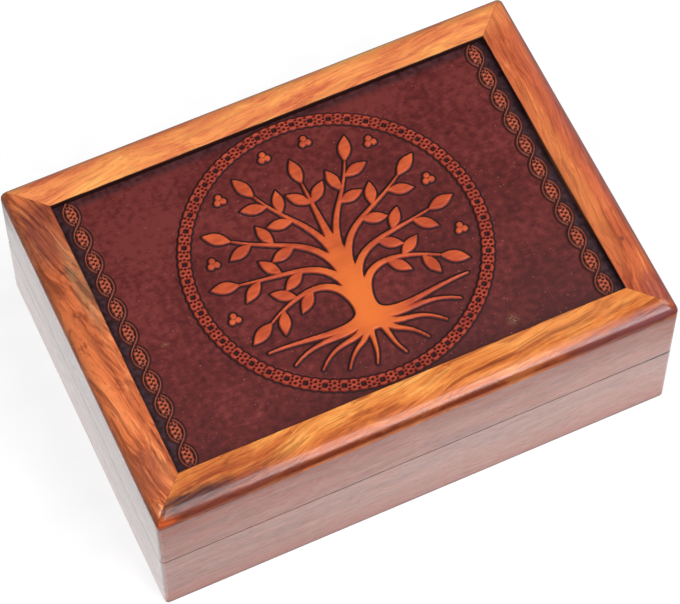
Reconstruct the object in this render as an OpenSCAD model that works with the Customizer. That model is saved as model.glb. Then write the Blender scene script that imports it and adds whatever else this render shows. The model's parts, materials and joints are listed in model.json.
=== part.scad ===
// Hinged wooden keepsake box: mitred rails, a carved panel in the lid, a nailed
// bottom board, cloth-covered liners and two brass butt hinges at the back.
// Millimetres. The origin is the middle of the underside, +X runs to the right
// along the long side, -Y is the front and +Z is up.

/* [Box] */
// Outside length, left to right
box_w = 178; // [150:1:230]
// Outside depth, front to back
box_d = 128; // [108:1:170]
// Height of the base
base_h = 31.3; // [26:0.1:45]
// Height of the lid
lid_h = 30.9; // [26:0.1:45]
// Gap between the base and the closed lid
seam_gap = 0.3; // [0.2:0.05:0.6]
// Thickness of the rails that make the walls
rail_t = 13; // [12:0.5:18]
// Radius of the upright outer corners
corner_r = 1.5; // [0.5:0.25:4]
// Radius of the rounded outer edge round the top of the lid
top_edge_r = 4.5; // [1:0.25:6]

/* [Lid panel] */
// Thickness of the panel below its carving
panel_t = 5; // [4:0.5:8]
// Depth of the carving's ground below the top of the rails
panel_drop = 2.2; // [1.8:0.1:5]
// Height of the carving above its ground
relief_h = 0.9; // [0.3:0.1:1.5]
// Depth of the groove that holds the panel's edges
groove_d = 5; // [3:0.5:7]
// Play between the panel and the groove
panel_play = 0.2; // [0.1:0.05:0.4]

/* [Carving] */
// Space between the ring and the nearest rails or braids
ring_margin = 1; // [0.5:0.25:12]
// Width of the ring's band
ring_w = 5; // [3:0.25:8]
// Number of dark pits round the ring
ring_pits = 50; // [24:1:60]
// Side of one pit in the ring
pit_w = 1.3; // [0.8:0.1:1.8]
// Space between a braid and the nearest side rail
braid_margin = 2.2; // [1:0.1:6]
// Width of a braid over both strands
braid_w = 5.4; // [4:0.1:8]
// Width of one strand
strand_w = 0.8; // [0.5:0.05:1.2]
// Length of one loop of the braid, before it is evened out
braid_pitch = 9.2; // [7:0.1:12]
// Length of the bead in each loop
bead_l = 5.4; // [3:0.1:6]
// Width of the bead in each loop
bead_w = 2.4; // [1:0.1:3]
// Widest part of the tree's trunk
trunk_w = 8; // [4:0.25:10]
// Length of the leaf at the end of a limb
leaf_l = 10; // [5:0.25:12]
// Width of the leaf at the end of a limb
leaf_w = 4.2; // [2:0.1:5]
// Radius of one seed between the limbs
seed_r = 1.15; // [0.4:0.05:1.4]

/* [Bottom] */
// Thickness of the bottom board
bottom_t = 4; // [3:0.5:6]
// Width of the rabbet that the bottom board lies in
rabbet_w = 6; // [4:0.5:8]
// Play round the edge of the bottom board
bottom_play = 0.2; // [0.1:0.05:0.5]
// Radius of a brad's shank
brad_r = 0.6; // [0.4:0.05:0.9]
// Radius of a brad's head
brad_head_r = 1.2; // [0.8:0.05:1.6]
// Thickness of a brad's head
brad_head_t = 0.5; // [0.3:0.05:0.8]
// Length of a brad
brad_l = 14; // [10:0.5:20]
// Number of brads along the front and along the back
long_brads = 3; // [2:1:6]
// Number of brads along each side
short_brads = 2; // [2:1:4]
// Distance from the outer corner of the box to the nearest brad
brad_end = 30; // [26:1:40]

/* [Corner splines] */
// Thickness of a spline
spline_t = 3; // [2:0.25:4]
// Width of a spline across the mitre
spline_w = 9; // [6:0.5:10]
// Wood left above and below a spline
spline_land = 3; // [2:0.5:5]

/* [Liners] */
// Thickness of the cloth-covered card on the walls
wall_liner_t = 1.2; // [0.8:0.1:2]
// Thickness of the cloth-covered card on the floor and the ceiling
floor_liner_t = 2; // [1:0.1:3]
// Distance from the meeting edges down to the wall liners
liner_drop = 1.5; // [0.5:0.1:4]
// Play between neighbouring liners
liner_play = 0.15; // [0.1:0.05:0.4]

/* [Hinges] */
// Length of a hinge
hinge_l = 26; // [20:1:34]
// Distance from the side of the box to a hinge
hinge_inset = 24; // [18:1:36]
// Distance from the back of the box to the hinge axis
axis_inset = 2.4; // [2.4:0.1:3]
// Radius of the hinge barrel
barrel_r = 2.1; // [1.8:0.05:2.1]
// Number of knuckles in the barrel, always odd
knuckles = 5; // [3:2:7]
// Gap between two knuckles
knuckle_gap = 0.2; // [0.1:0.05:0.4]
// Thickness of a leaf of the hinge
hinge_leaf_t = 1.1; // [1:0.05:1.4]
// Wood left between a leaf and the inside of the rail
leaf_land = 2; // [1:0.25:3]
// Room round the barrel and the leaves in their cut-outs
hinge_play = 0.25; // [0.15:0.05:0.3]
// Radius of the hinge pin
pin_r = 0.9; // [0.7:0.05:1.1]
// Play between the pin and the knuckles
pin_play = 0.05; // [0.02:0.01:0.1]
// Radius of the pin's heads
pin_head_r = 1.5; // [1.2:0.05:1.8]
// Thickness of the pin's heads
pin_head_t = 0.6; // [0.4:0.05:1]
// Slope of the bevels along the back, which let the lid lean back
bevel_angle = 52; // [50:1:58]

/* [Hinge screws] */
// Radius of a screw's shank
screw_r = 1; // [0.8:0.05:1.2]
// Radius of a screw's countersunk head
screw_head_r = 1.9; // [1.5:0.05:2.2]
// Length of a screw
screw_l = 9; // [6:0.5:14]
// Distance between the two screws of a leaf
screw_span = 16; // [12:0.5:20]
// Width of the slot in a screw's head
slot_w = 0.5; // [0.3:0.05:0.7]
// Depth of the slot in a screw's head
slot_depth = 0.4; // [0.2:0.05:0.5]
// Room round a screw or a brad in its hole
pilot_play = 0.05; // [0.03:0.01:0.1]

/* [Hidden] */
$fn = 48;
// Length by which a cut runs past the face it opens
over = 1;

// Heights
lid_z = base_h + seam_gap;
box_h = lid_z + lid_h;
ground_z = box_h - panel_drop;
panel_z = ground_z - panel_t;
axis_z = base_h + seam_gap / 2;

// Space inside the rails
inner_w = box_w - 2 * rail_t;
inner_d = box_d - 2 * rail_t;

// Splines
base_spline_z = bottom_t + spline_land;
base_spline_h = base_h - spline_land - base_spline_z;
lid_spline_z = lid_z + spline_land;
lid_spline_h = panel_z - spline_land - lid_spline_z;

// Liners
lined_w = inner_w - 2 * (wall_liner_t + liner_play);
lined_d = inner_d - 2 * (wall_liner_t + liner_play);
base_liner_h = base_h - liner_drop - bottom_t;
lid_liner_h = panel_z - lid_z - liner_drop;

// Hinges
axis_y = box_d / 2 - axis_inset;
hinge_x = box_w / 2 - hinge_inset - hinge_l / 2;
leaf_reach = rail_t - axis_inset - leaf_land;
barrel_clear = barrel_r + hinge_play;
knuckle_step = hinge_l / knuckles;
screw_y = -(leaf_reach + barrel_clear) / 2;
sink = screw_head_r - screw_r;

// Carving
braid_x = inner_w / 2 - braid_margin - braid_w / 2;
ring_r = min(inner_d / 2, braid_x - braid_w / 2) - ring_margin;
tree_r = ring_r - ring_w;
braid_loops = round(inner_d / braid_pitch);
loop_l = inner_d / braid_loops;
// Straight pieces in one loop of a strand, in a limb and in one edge of a leaf
loop_steps = 6;
curve_steps = 7;
leaf_steps = 5;
// How deep the carving is rooted in the panel
relief_root = 1;
// Growth that closes the hair gaps between carved shapes that meet
relief_blend = 0.06;

// Limbs of the right half of the tree, as shares of the radius inside the ring:
// four points of a curve, the widths at its two ends as shares of the trunk,
// the place of the first side leaf along the curve and the number of side leaves
limbs = [
    [[[0.04, -0.54], [0.05, -0.16], [0.32, -0.16], [0.64, -0.34]], 0.44, 0.10, 0.58, 3],
    [[[0.03, -0.44], [0.04, 0.00], [0.32, -0.06], [0.72, 0.02]], 0.42, 0.10, 0.57, 3],
    [[[0.02, -0.34], [0.03, 0.18], [0.30, 0.12], [0.64, 0.36]], 0.40, 0.10, 0.57, 3],
    [[[0.01, -0.24], [0.01, 0.28], [0.20, 0.28], [0.35, 0.62]], 0.38, 0.10, 0.62, 3]
];
// Roots of the right half, in the same way, bare of leaves
roots = [
    [[[0.03, -0.46], [0.06, -0.70], [0.42, -0.54], [0.76, -0.55]], 0.44, 0.10],
    [[[0.03, -0.52], [0.16, -0.74], [0.36, -0.54], [0.63, -0.71]], 0.36, 0.10],
    [[[0.03, -0.54], [0.14, -0.80], [0.26, -0.60], [0.47, -0.82]], 0.34, 0.10],
    [[[0.02, -0.56], [0.12, -0.82], [0.16, -0.68], [0.30, -0.89]], 0.32, 0.10],
    [[[0.01, -0.56], [0.08, -0.76], [0.04, -0.80], [0.11, -0.93]], 0.30, 0.10]
];
// Trunk and middle shoot of the tree, in the same way
trunk = [[[0, -0.60], [0, -0.50], [0, -0.30], [0, 0.00]], 1, 0.6];
shoot = [[[0, -0.10], [0, 0.10], [0, 0.30], [0, 0.58]], 0.50, 0.10];
// Place of the last side leaf along a limb and of the pair on the middle shoot
last_leaf = 0.88;
shoot_pair = 0.78;
// Angle between a limb and its side leaves, and their size as a share of the end leaf
leaf_turn = 46;
side_leaf = 0.92;
// Places of the seed clusters of the right half, as shares of the radius inside the ring
seed_places = [[0.16, 0.89], [0.585, 0.70], [0.83, 0.25], [0.87, -0.21]];

// Colours
rail_colour = "peru";
panel_colour = "sienna";
board_colour = "burlywood";
spline_colour = "saddlebrown";
liner_colour = "maroon";
brass_colour = "darkgoldenrod";
steel_colour = "silver";

// A bar with its section in the first two axes, laid along X
module along_x(length)
    rotate([90, 0, 90])
        linear_extrude(length, center = true)
            children();

// Plan of one rail: its outer edge lies at the front, its ends are mitred
module mitred_plan(run, across)
    polygon([
        [-run / 2, -across / 2],
        [run / 2, -across / 2],
        [run / 2 - rail_t, -across / 2 + rail_t],
        [-run / 2 + rail_t, -across / 2 + rail_t]
    ]);

// What rounds one upright outer corner, standing at that corner
module corner_waste(height)
    difference() {
        translate([-corner_r, -corner_r, -over])
            cube([corner_r + over, corner_r + over, height + 2 * over]);
        translate([-corner_r, -corner_r, -2 * over])
            cylinder(r = corner_r, h = height + 4 * over);
    }

// One spline, standing in the middle of the mitre at the corner given by two signs
module spline(side_x, side_y, z, height)
    translate([side_x * (box_w - rail_t) / 2, side_y * (box_d - rail_t) / 2, z + height / 2])
        rotate([0, 0, 45 * side_x * side_y])
            cube([spline_t, spline_w, height], center = true);

// The four splines of the base or of the lid
module splines(z, height)
    for (side_x = [-1, 1], side_y = [-1, 1])
        spline(side_x, side_y, z, height);

// A front rail cut from a bar of the section given as a child
module rail_blank(run, across, z, height)
    translate([0, 0, z])
        difference() {
            intersection() {
                translate([0, -across / 2, 0])
                    along_x(run)
                        children();
                linear_extrude(height)
                    mitred_plan(run, across);
            }
            for (side = [0, 1])
                mirror([side, 0, 0])
                    translate([run / 2, -across / 2, 0])
                        rotate([0, 0, -90])
                            corner_waste(height);
        }

// Section of a base rail: the outer face at 0, the rabbet inside at the bottom
module base_section()
    difference() {
        square([rail_t, base_h]);
        translate([rail_t - rabbet_w, -over])
            square([rabbet_w + over, bottom_t + over]);
    }

// Section of a lid rail: a rounded outer top edge and the panel's groove inside
module lid_section()
    difference() {
        square([rail_t, lid_h]);
        translate([0, lid_h - top_edge_r])
            difference() {
                translate([-over, 0])
                    square([top_edge_r + over, top_edge_r + over]);
                translate([top_edge_r, 0])
                    circle(r = top_edge_r);
            }
        translate([rail_t - groove_d, panel_z - lid_z])
            square([groove_d + over, panel_t + panel_play]);
    }

// One rail of the base, turned to its side of the box
module base_rail(turn, run, across)
    rotate([0, 0, turn])
        rail_blank(run, across, 0, base_h)
            base_section();

// One rail of the lid, turned to its side of the box
module lid_rail(turn, run, across)
    rotate([0, 0, turn])
        rail_blank(run, across, lid_z, lid_h)
            lid_section();

// The bevel along the back, upwards in the lid and downwards in the base
module back_bevel(up)
    translate([0, axis_y, axis_z + up * seam_gap / 2])
        along_x(box_w + 2 * over)
            polygon([
                [0, 0],
                [0, -up * over],
                [axis_inset + over, -up * over],
                [axis_inset + over, up * (axis_inset + over) * tan(bevel_angle)]
            ]);

// Copies what is given to both hinge axes
module at_hinges()
    for (side = [-1, 1])
        translate([side * hinge_x, axis_y, axis_z])
            children();

// Copies what is given to the two screw places of a leaf, on its open face
module at_screws(up)
    for (side = [-1, 1])
        translate([side * screw_span / 2, screw_y, up * seam_gap / 2])
            mirror([0, 0, up > 0 ? 0 : 1])
                children();

// What a hinge takes out of the lid's or the base's back rail
module hinge_cut(up) {
    cut_l = hinge_l + 2 * (pin_head_t + hinge_play);
    rotate([0, 90, 0])
        cylinder(r = barrel_clear, h = cut_l, center = true);
    mirror([0, 0, up > 0 ? 0 : 1])
        translate([-hinge_l / 2 - hinge_play, -leaf_reach - hinge_play, seam_gap / 2 - over])
            cube([hinge_l + 2 * hinge_play, leaf_reach + hinge_play, hinge_leaf_t + over]);
    at_screws(up)
        screw_room(screw_l + pilot_play);
}

// Countersunk hole for a screw, its mouth on the origin, open to -Z
module screw_room(depth) {
    cylinder(r = screw_r + pilot_play, h = depth);
    translate([0, 0, -over])
        cylinder(
            r1 = screw_head_r + pilot_play + over,
            r2 = screw_r + pilot_play,
            h = sink + over
        );
}

// Holes for the brads, or the brads themselves when the room round them is 0
module brads(room) {
    long_span = box_w - 2 * brad_end;
    short_span = box_d - 2 * brad_end;
    row_x = inner_w / 2 + rabbet_w / 2;
    row_y = inner_d / 2 + rabbet_w / 2;
    for (side = [-1, 1]) {
        for (i = [0 : long_brads - 1])
            translate([long_span * (i / (long_brads - 1) - 0.5), side * row_y, 0])
                brad(room);
        for (i = [0 : short_brads - 1])
            translate([side * row_x, short_span * (i / (short_brads - 1) - 0.5), 0])
                brad(room);
    }
}

// One brad, head down, with room round it
module brad(room) {
    cylinder(r = brad_r + room, h = brad_l + room);
    translate([0, 0, room > 0 ? -over : 0])
        cylinder(r = brad_head_r + room, h = brad_head_t + (room > 0 ? over : 0));
}

// Base
module base_front_rail() color(rail_colour)
    difference() {
        base_rail(0, box_w, box_d);
        splines(base_spline_z, base_spline_h);
        brads(pilot_play);
    }

module base_back_rail() color(rail_colour)
    difference() {
        base_rail(180, box_w, box_d);
        splines(base_spline_z, base_spline_h);
        brads(pilot_play);
        back_bevel(-1);
        at_hinges()
            hinge_cut(-1);
    }

module base_side_rail(turn)
    difference() {
        base_rail(turn, box_d, box_w);
        splines(base_spline_z, base_spline_h);
        brads(pilot_play);
        back_bevel(-1);
    }

module base_left_rail() color(rail_colour)
    base_side_rail(-90);

module base_right_rail() color(rail_colour)
    base_side_rail(90);

module base_bottom_panel() color(board_colour)
    difference() {
        translate([0, 0, bottom_t / 2])
            cube([
                inner_w + 2 * (rabbet_w - bottom_play),
                inner_d + 2 * (rabbet_w - bottom_play),
                bottom_t
            ], center = true);
        brads(pilot_play);
    }

module bottom_panel_brads() color(steel_colour)
    brads(0);

module base_corner_splines() color(spline_colour)
    splines(base_spline_z, base_spline_h);

// Liners
module floor_liner() color(liner_colour)
    translate([-lined_w / 2, -lined_d / 2, bottom_t])
        cube([lined_w, lined_d, floor_liner_t]);

module ceiling_liner()
    translate([-lined_w / 2, -lined_d / 2, panel_z - floor_liner_t])
        cube([lined_w, lined_d, floor_liner_t]);

// A liner on the front wall, as long as the space inside the rails
module long_liner(z, height)
    translate([-inner_w / 2 + liner_play, -inner_d / 2, z])
        cube([inner_w - 2 * liner_play, wall_liner_t, height]);

// A liner on the left wall, between the front one and the back one
module short_liner(z, height)
    translate([-inner_w / 2, -lined_d / 2, z])
        cube([wall_liner_t, lined_d, height]);

module base_front_wall_liner() color(liner_colour)
    long_liner(bottom_t, base_liner_h);

module base_back_wall_liner() color(liner_colour)
    mirror([0, 1, 0])
        long_liner(bottom_t, base_liner_h);

module base_left_wall_liner() color(liner_colour)
    short_liner(bottom_t, base_liner_h);

module base_right_wall_liner() color(liner_colour)
    mirror([1, 0, 0])
        short_liner(bottom_t, base_liner_h);

module lid_ceiling_liner() color(liner_colour)
    ceiling_liner();

module lid_front_wall_liner() color(liner_colour)
    long_liner(lid_z + liner_drop, lid_liner_h);

module lid_back_wall_liner() color(liner_colour)
    mirror([0, 1, 0])
        long_liner(lid_z + liner_drop, lid_liner_h);

module lid_left_wall_liner() color(liner_colour)
    short_liner(lid_z + liner_drop, lid_liner_h);

module lid_right_wall_liner() color(liner_colour)
    mirror([1, 0, 0])
        short_liner(lid_z + liner_drop, lid_liner_h);

// Hinges: the axis runs along X through the origin and the leaf reaches to -Y
module hinge_leaf(up, first) {
    difference() {
        union() {
            mirror([0, 0, up > 0 ? 0 : 1])
                translate([-hinge_l / 2, -leaf_reach, seam_gap / 2])
                    cube([hinge_l, leaf_reach - barrel_clear, hinge_leaf_t]);
            for (i = [first : 2 : knuckles - 1])
                translate([knuckle_step * (i - knuckles / 2) + knuckle_gap / 2, 0, 0])
                    knuckle(up, knuckle_step - knuckle_gap);
        }
        rotate([0, 90, 0])
            cylinder(r = pin_r + pin_play, h = hinge_l + 2 * over, center = true);
        at_screws(up)
            screw_room(hinge_leaf_t + over);
    }
}

// One knuckle and the strip that ties it to its leaf
module knuckle(up, length) {
    rotate([0, 90, 0])
        cylinder(r = barrel_r, h = length);
    mirror([0, 0, up > 0 ? 0 : 1])
        translate([0, -leaf_reach, seam_gap / 2])
            cube([length, leaf_reach, hinge_leaf_t]);
}

module hinge_pin() {
    pin_l = hinge_l + 2 * pin_head_t;
    rotate([0, 90, 0]) {
        cylinder(r = pin_r, h = pin_l, center = true);
        for (side = [-1, 1])
            translate([0, 0, side * (hinge_l + pin_head_t) / 2])
                cylinder(r = pin_head_r, h = pin_head_t, center = true);
    }
}

// One countersunk screw, its head on the origin and its shank to +Z
module screw()
    difference() {
        union() {
            cylinder(r1 = screw_head_r, r2 = screw_r, h = sink);
            cylinder(r = screw_r, h = screw_l);
        }
        translate([-screw_head_r - over, -slot_w / 2, -over])
            cube([2 * (screw_head_r + over), slot_w, slot_depth + over]);
    }

module left_hinge_base_leaf() color(brass_colour)
    translate([-hinge_x, axis_y, axis_z])
        hinge_leaf(-1, 0);

module right_hinge_base_leaf() color(brass_colour)
    translate([hinge_x, axis_y, axis_z])
        hinge_leaf(-1, 0);

module left_hinge_lid_leaf() color(brass_colour)
    translate([-hinge_x, axis_y, axis_z])
        hinge_leaf(1, 1);

module right_hinge_lid_leaf() color(brass_colour)
    translate([hinge_x, axis_y, axis_z])
        hinge_leaf(1, 1);

module left_hinge_pin() color(steel_colour)
    translate([-hinge_x, axis_y, axis_z])
        hinge_pin();

module right_hinge_pin() color(steel_colour)
    translate([hinge_x, axis_y, axis_z])
        hinge_pin();

module hinge_base_screws() color(brass_colour)
    at_hinges()
        at_screws(-1)
            screw();

module hinge_lid_screws() color(brass_colour)
    at_hinges()
        at_screws(1)
            screw();

// Lid
module lid_front_rail() color(rail_colour)
    difference() {
        lid_rail(0, box_w, box_d);
        splines(lid_spline_z, lid_spline_h);
    }

module lid_back_rail() color(rail_colour)
    difference() {
        lid_rail(180, box_w, box_d);
        splines(lid_spline_z, lid_spline_h);
        back_bevel(1);
        at_hinges()
            hinge_cut(1);
    }

module lid_side_rail(turn)
    difference() {
        lid_rail(turn, box_d, box_w);
        splines(lid_spline_z, lid_spline_h);
        back_bevel(1);
    }

module lid_left_rail() color(rail_colour)
    lid_side_rail(-90);

module lid_right_rail() color(rail_colour)
    lid_side_rail(90);

module lid_corner_splines() color(spline_colour)
    splines(lid_spline_z, lid_spline_h);

// Carving: a point and a direction on a curve of four points, t from 0 to 1
function curve_point(p, t) =
    pow(1 - t, 3) * p[0] + 3 * t * pow(1 - t, 2) * p[1] + 3 * t * t * (1 - t) * p[2] + pow(t, 3) * p[3];
function curve_slope(p, t) =
    pow(1 - t, 2) * (p[1] - p[0]) + 2 * t * (1 - t) * (p[2] - p[1]) + t * t * (p[3] - p[2]);
function across_curve(p, t) =
    let (d = curve_slope(p, t)) [-d[1], d[0]] / norm(d);

// Edge of a tapering limb; side is 1 on the left of the curve and -1 on the right
function limb_edge(limb, t, side) =
    tree_r * curve_point(limb[0], t)
    + side * trunk_w / 2 * (limb[1] + (limb[2] - limb[1]) * t) * across_curve(limb[0], t);

module limb_shape(limb)
    polygon(concat(
        [for (i = [0 : curve_steps]) limb_edge(limb, i / curve_steps, 1)],
        [for (i = [curve_steps : -1 : 0]) limb_edge(limb, i / curve_steps, -1)]
    ));

// A pointed leaf that grows from the origin along X, and a point on one edge of it
function leaf_point(i, side) =
    [leaf_l * i / leaf_steps, side * leaf_w / 2 * sin(180 * i / leaf_steps)];

module leaf_shape()
    polygon(concat(
        [for (i = [0 : leaf_steps]) leaf_point(i, 1)],
        [for (i = [leaf_steps - 1 : -1 : 1]) leaf_point(i, -1)]
    ));

// Side leaves to the right and to the left of a limb in turn, and one leaf at its end
module limb_leaves(limb) {
    first = limb[3];
    step = (last_leaf - first) / (limb[4] - 1);
    for (i = [0 : limb[4] - 1])
        grow_leaf(limb, first + step * i, (i % 2 == 0 ? -1 : 1) * leaf_turn, side_leaf);
    grow_leaf(limb, 1, 0, 1);
}

module grow_leaf(limb, t, turn, size) {
    slope = curve_slope(limb[0], t);
    translate(tree_r * curve_point(limb[0], t))
        rotate(atan2(slope[1], slope[0]) + turn)
            scale(size)
                leaf_shape();
}

// Three seeds that grow together
module seed_cluster()
    for (i = [0 : 2])
        rotate(90 + 120 * i)
            translate([seed_r, 0])
                circle(r = seed_r, $fn = 10);

module half_tree() {
    for (limb = concat(limbs, roots))
        limb_shape(limb);
    for (limb = limbs)
        limb_leaves(limb);
    grow_leaf(shoot, shoot_pair, -leaf_turn, side_leaf);
    for (place = seed_places)
        translate(tree_r * place)
            seed_cluster();
}

module tree() {
    limb_shape(trunk);
    limb_shape(shoot);
    grow_leaf(shoot, 1, 0, 1);
    for (side = [0, 1])
        mirror([side, 0, 0])
            half_tree();
}

// One strand of a braid along Y; side is 1 or -1
function strand_point(i, side, edge) =
    let (
        swing = (braid_w - strand_w) / 2,
        turn = 180 * i / loop_steps,
        slope = side * swing * PI / loop_l * cos(turn)
    )
    [side * swing * sin(turn), loop_l * i / loop_steps - inner_d / 2]
    + edge * strand_w / 2 * [1, -slope] / norm([1, slope]);

module strand(side) {
    last = braid_loops * loop_steps;
    polygon(concat(
        [for (i = [0 : last]) strand_point(i, side, 1)],
        [for (i = [last : -1 : 0]) strand_point(i, side, -1)]
    ));
}

// A two-strand braid with a bead in each loop
module braid()
    intersection() {
        square([2 * braid_w, inner_d], center = true);
        union() {
            strand(1);
            strand(-1);
            for (i = [0 : braid_loops - 1])
                translate([0, loop_l * (i + 0.5) - inner_d / 2])
                    scale([bead_w, bead_l])
                        circle(d = 1, $fn = 10);
        }
    }

// Carved shapes in plan, raised from the panel
module raised()
    translate([0, 0, ground_z - relief_root])
        linear_extrude(relief_h + relief_root)
            offset(delta = relief_blend)
                children();

module carved_ring()
    difference() {
        translate([0, 0, ground_z - relief_root])
            cylinder(r = ring_r, h = relief_h + relief_root, $fn = 96);
        translate([0, 0, ground_z - 2 * relief_root])
            cylinder(r = tree_r, h = relief_h + 3 * relief_root, $fn = 96);
        for (i = [0 : ring_pits - 1])
            rotate([0, 0, 360 * i / ring_pits])
                translate([(ring_r + tree_r) / 2, 0, ground_z + relief_h])
                    rotate([0, 0, 45])
                        cube([pit_w, pit_w, 2 * relief_h], center = true);
    }

module lid_panel() color(panel_colour)
    union() {
        translate([0, 0, panel_z + panel_t / 2])
            cube([
                inner_w + 2 * (groove_d - panel_play),
                inner_d + 2 * (groove_d - panel_play),
                panel_t
            ], center = true);
        carved_ring();
        raised()
            tree();
        for (side = [-1, 1])
            raised()
                translate([side * braid_x, 0])
                    braid();
    }

base_front_rail();
base_back_rail();
base_left_rail();
base_right_rail();
base_bottom_panel();
bottom_panel_brads();
base_corner_splines();
floor_liner();
base_front_wall_liner();
base_back_wall_liner();
base_left_wall_liner();
base_right_wall_liner();
left_hinge_base_leaf();
right_hinge_base_leaf();
left_hinge_pin();
right_hinge_pin();
hinge_base_screws();
lid_front_rail();
lid_back_rail();
lid_left_rail();
lid_right_rail();
lid_panel();
lid_corner_splines();
lid_ceiling_liner();
lid_front_wall_liner();
lid_back_wall_liner();
lid_left_wall_liner();
lid_right_wall_liner();
left_hinge_lid_leaf();
right_hinge_lid_leaf();
hinge_lid_screws();
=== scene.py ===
# %% [markdown]
# # A carved wooden keepsake box
# The box has four mitred rails in its base and four in its lid, a carved board let into the
# lid, velvet inside and two brass hinges at the back. The measured solids come in first, as a
# fixed frame. Everything we model after that is laid over them, in metres, in the same place.

# %% Load the measured solids
import json
import math

import bmesh
import bpy
import numpy as np
from mathutils import Matrix, Vector


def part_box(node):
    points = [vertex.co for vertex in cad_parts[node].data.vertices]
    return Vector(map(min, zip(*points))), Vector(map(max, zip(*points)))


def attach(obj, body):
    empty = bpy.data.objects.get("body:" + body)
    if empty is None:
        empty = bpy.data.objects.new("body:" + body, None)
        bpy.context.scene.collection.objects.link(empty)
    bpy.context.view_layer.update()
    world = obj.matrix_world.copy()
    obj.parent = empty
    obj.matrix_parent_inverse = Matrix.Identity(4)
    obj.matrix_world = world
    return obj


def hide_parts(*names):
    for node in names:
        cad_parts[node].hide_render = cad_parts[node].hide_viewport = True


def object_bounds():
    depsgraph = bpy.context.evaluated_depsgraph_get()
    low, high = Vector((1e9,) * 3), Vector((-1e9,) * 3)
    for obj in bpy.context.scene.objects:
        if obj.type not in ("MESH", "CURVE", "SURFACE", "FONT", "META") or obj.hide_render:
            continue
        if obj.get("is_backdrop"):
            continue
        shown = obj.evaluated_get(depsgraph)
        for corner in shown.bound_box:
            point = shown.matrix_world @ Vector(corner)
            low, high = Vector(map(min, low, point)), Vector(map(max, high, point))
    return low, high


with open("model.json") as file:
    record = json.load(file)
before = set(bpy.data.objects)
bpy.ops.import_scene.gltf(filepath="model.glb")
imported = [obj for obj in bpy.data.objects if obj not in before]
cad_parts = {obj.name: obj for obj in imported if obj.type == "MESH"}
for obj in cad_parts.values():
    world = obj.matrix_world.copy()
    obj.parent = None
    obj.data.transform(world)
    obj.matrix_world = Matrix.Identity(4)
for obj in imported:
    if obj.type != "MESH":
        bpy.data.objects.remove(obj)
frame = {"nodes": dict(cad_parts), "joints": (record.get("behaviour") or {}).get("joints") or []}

solid_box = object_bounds()
solids = frame["nodes"]

# %% [markdown]
# ## Sizes
# All lengths are written in millimetres and multiplied by `mm`, because a box maker measures in
# millimetres while Blender counts in metres. What the solids already know is read from them, so
# that the two never disagree.

# %% Sizes that the whole lesson uses
mm = 0.001
lid_low, lid_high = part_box("lid_front_rail")
base_low, base_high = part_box("base_front_rail")
board_low, board_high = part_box("lid_panel")
half_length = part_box("base_right_rail")[1].x
half_depth = -base_low.y
seam_low, seam_high = base_high.z, lid_low.z
seams = {"lid": seam_high, "base": seam_low}
lid_top = lid_high.z
rail_thick = base_high.y - base_low.y
inner_x = half_length - rail_thick
inner_y = half_depth - rail_thick
carving_top = board_high.z
carving_rise = 0.9 * mm
ground = carving_top - carving_rise
groove_depth = 5 * mm
groove_play = 0.2 * mm
print("box %.1f x %.1f x %.1f mm" % (2 * half_length / mm, 2 * half_depth / mm, lid_top / mm))

# %% [markdown]
# ## Camera
# The picture looks down on the front left corner through a long lens, so the edges of the box
# run nearly parallel. We give the camera's place and its three axes as a matrix, which is more
# exact than turning it by hand.

# %% Camera
view_turn = math.radians(-24.53678)
view_lift = math.radians(62.14822)
view_roll = math.radians(-0.16169)
view_place = Vector((-204.659, -451.217, 962.777)) * mm
away = Vector((
    math.sin(view_turn) * math.cos(view_lift),
    -math.cos(view_turn) * math.cos(view_lift),
    math.sin(view_lift)))
level = Vector((math.cos(view_turn), math.sin(view_turn), 0))
upright = away.cross(level)
right = math.cos(view_roll) * level + math.sin(view_roll) * upright
upward = math.cos(view_roll) * upright - math.sin(view_roll) * level

bpy.ops.object.camera_add()
camera = bpy.context.object
camera.name = "camera"
camera.data.lens = 172.75
axes = Matrix((right, upward, away)).transposed().to_4x4()
camera.matrix_world = Matrix.Translation(view_place) @ axes
bpy.context.scene.camera = camera
bpy.context.scene.view_settings.view_transform = "Standard"
print("camera at", [round(c, 3) for c in view_place])

# %% [markdown]
# ## Shader nodes by name
# A finish is a net of small nodes, and `Net` gives the kinds that we need short names. Its `put`
# adds a node, sets its options and plugs in what it is given: a number goes into the socket
# itself, and another node's output becomes a link. Colours are written as red, green and blue.

# %% Short names for shader nodes
class Net:
    def __init__(self, owner):
        owner.use_nodes = True
        self.tree = owner.node_tree
        self.tree.nodes.clear()

    def put(self, kind, sockets=None, **options):
        made = self.tree.nodes.new("ShaderNode" + kind)
        for option, value in options.items():
            setattr(made, option, value)
        for socket, value in (sockets or {}).items():
            if isinstance(value, bpy.types.NodeSocket):
                self.tree.links.new(value, made.inputs[socket])
            else:
                made.inputs[socket].default_value = value
        return made

    def math(self, kind, *values):
        return self.put("Math", dict(enumerate(values)), operation=kind).outputs[0]

    def times(self, first, second):
        return self.math("MULTIPLY", first, second)

    def rescale(self, value, low, high, new_low=0, new_high=1):
        return self.put("MapRange", {0: value, 1: low, 2: high, 3: new_low, 4: new_high}).outputs[0]

    def vector(self, kind, *values):
        made = self.put("VectorMath", dict(enumerate(values)), operation=kind)
        return made.outputs["Value" if kind == "LENGTH" else "Vector"]

    def place(self):
        return self.put("TexCoord").outputs["Object"]

    def parts(self, vector):
        return self.put("SeparateXYZ", {0: vector}).outputs

    def shades(self, value, steps):
        ramp = self.put("ValToRGB", {0: value})
        marks = ramp.color_ramp.elements
        while len(marks) < len(steps):
            marks.new(0.5)
        for mark, (place, colour) in zip(marks, steps):
            mark.position = place
            mark.color = (*colour, 1)
        return ramp.outputs[0]


print("shader nodes named")

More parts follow.
